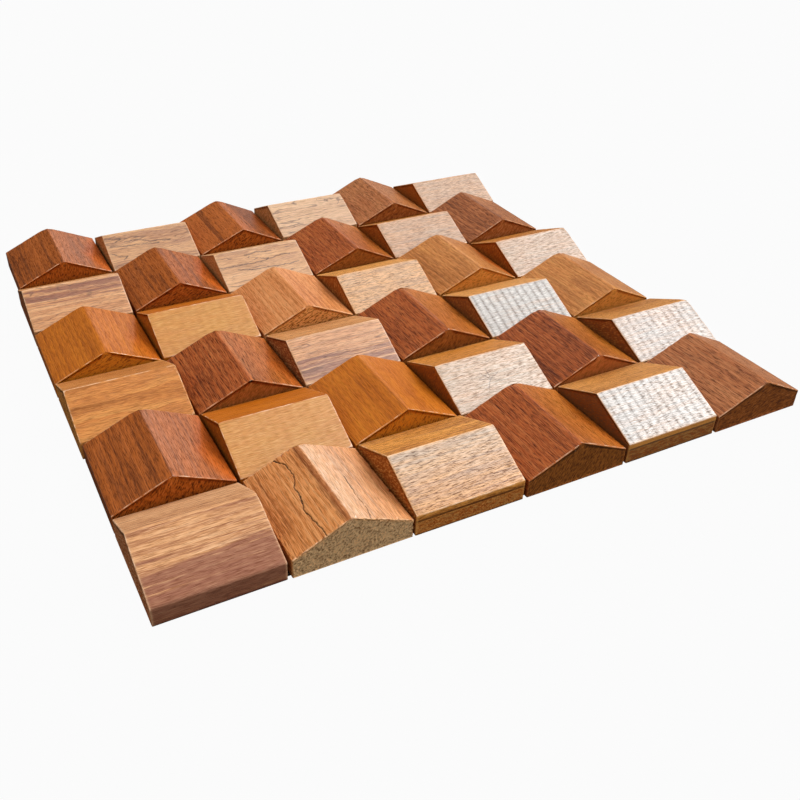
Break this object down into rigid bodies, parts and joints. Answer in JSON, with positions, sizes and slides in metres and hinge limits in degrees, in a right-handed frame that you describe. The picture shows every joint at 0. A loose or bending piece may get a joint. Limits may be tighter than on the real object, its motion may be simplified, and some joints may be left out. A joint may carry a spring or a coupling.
{
  "type": "wood mosaic panel",
  "caption": "Square decorative wall panel of gabled hardwood blocks in mixed woods, with ridges turned alternately across and along, held on a thin backing sheet.",
  "frame": {"origin": "centre of the panel's back, on the level floor that it lies on", "axes": "+X along the front row to the right, +Y from the front row to the back row, +Z out of the panel's face"},
  "size_m": [0.3002, 0.2989, 0.0213],
  "materials": {
    "red_brown_hardwood": "sanded and oiled red-brown hardwood, satin",
    "golden_hardwood": "sanded and oiled golden-brown hardwood, satin",
    "pale_streaked_hardwood": "sanded and oiled pale hardwood with dark streaks, satin",
    "backing_fleece": "thin dark non-woven fleece"
  },
  "bodies": {
    "root": {"backing_sheet": "backing_fleece", "block_row1_col1": "pale_streaked_hardwood", "block_row1_col2": "golden_hardwood", "block_row1_col3": "pale_streaked_hardwood", "block_row1_col4": "red_brown_hardwood", "block_row1_col5": "pale_streaked_hardwood", "block_row1_col6": "red_brown_hardwood", "block_row2_col1": "red_brown_hardwood", "block_row2_col2": "golden_hardwood", "block_row2_col3": "golden_hardwood", "block_row2_col4": "pale_streaked_hardwood", "block_row2_col5": "red_brown_hardwood", "block_row2_col6": "pale_streaked_hardwood", "block_row3_col1": "golden_hardwood", "block_row3_col2": "red_brown_hardwood", "block_row3_col3": "pale_streaked_hardwood", "block_row3_col4": "red_brown_hardwood", "block_row3_col5": "pale_streaked_hardwood", "block_row3_col6": "golden_hardwood", "block_row4_col1": "golden_hardwood", "block_row4_col2": "golden_hardwood", "block_row4_col3": "red_brown_hardwood", "block_row4_col4": "pale_streaked_hardwood", "block_row4_col5": "golden_hardwood", "block_row4_col6": "pale_streaked_hardwood", "block_row5_col1": "pale_streaked_hardwood", "block_row5_col2": "red_brown_hardwood", "block_row5_col3": "pale_streaked_hardwood", "block_row5_col4": "red_brown_hardwood", "block_row5_col5": "pale_streaked_hardwood", "block_row5_col6": "red_brown_hardwood", "block_row6_col1": "red_brown_hardwood", "block_row6_col2": "pale_streaked_hardwood", "block_row6_col3": "red_brown_hardwood", "block_row6_col4": "pale_streaked_hardwood", "block_row6_col5": "red_brown_hardwood", "block_row6_col6": "pale_streaked_hardwood"}
  },
  "joints": []
}
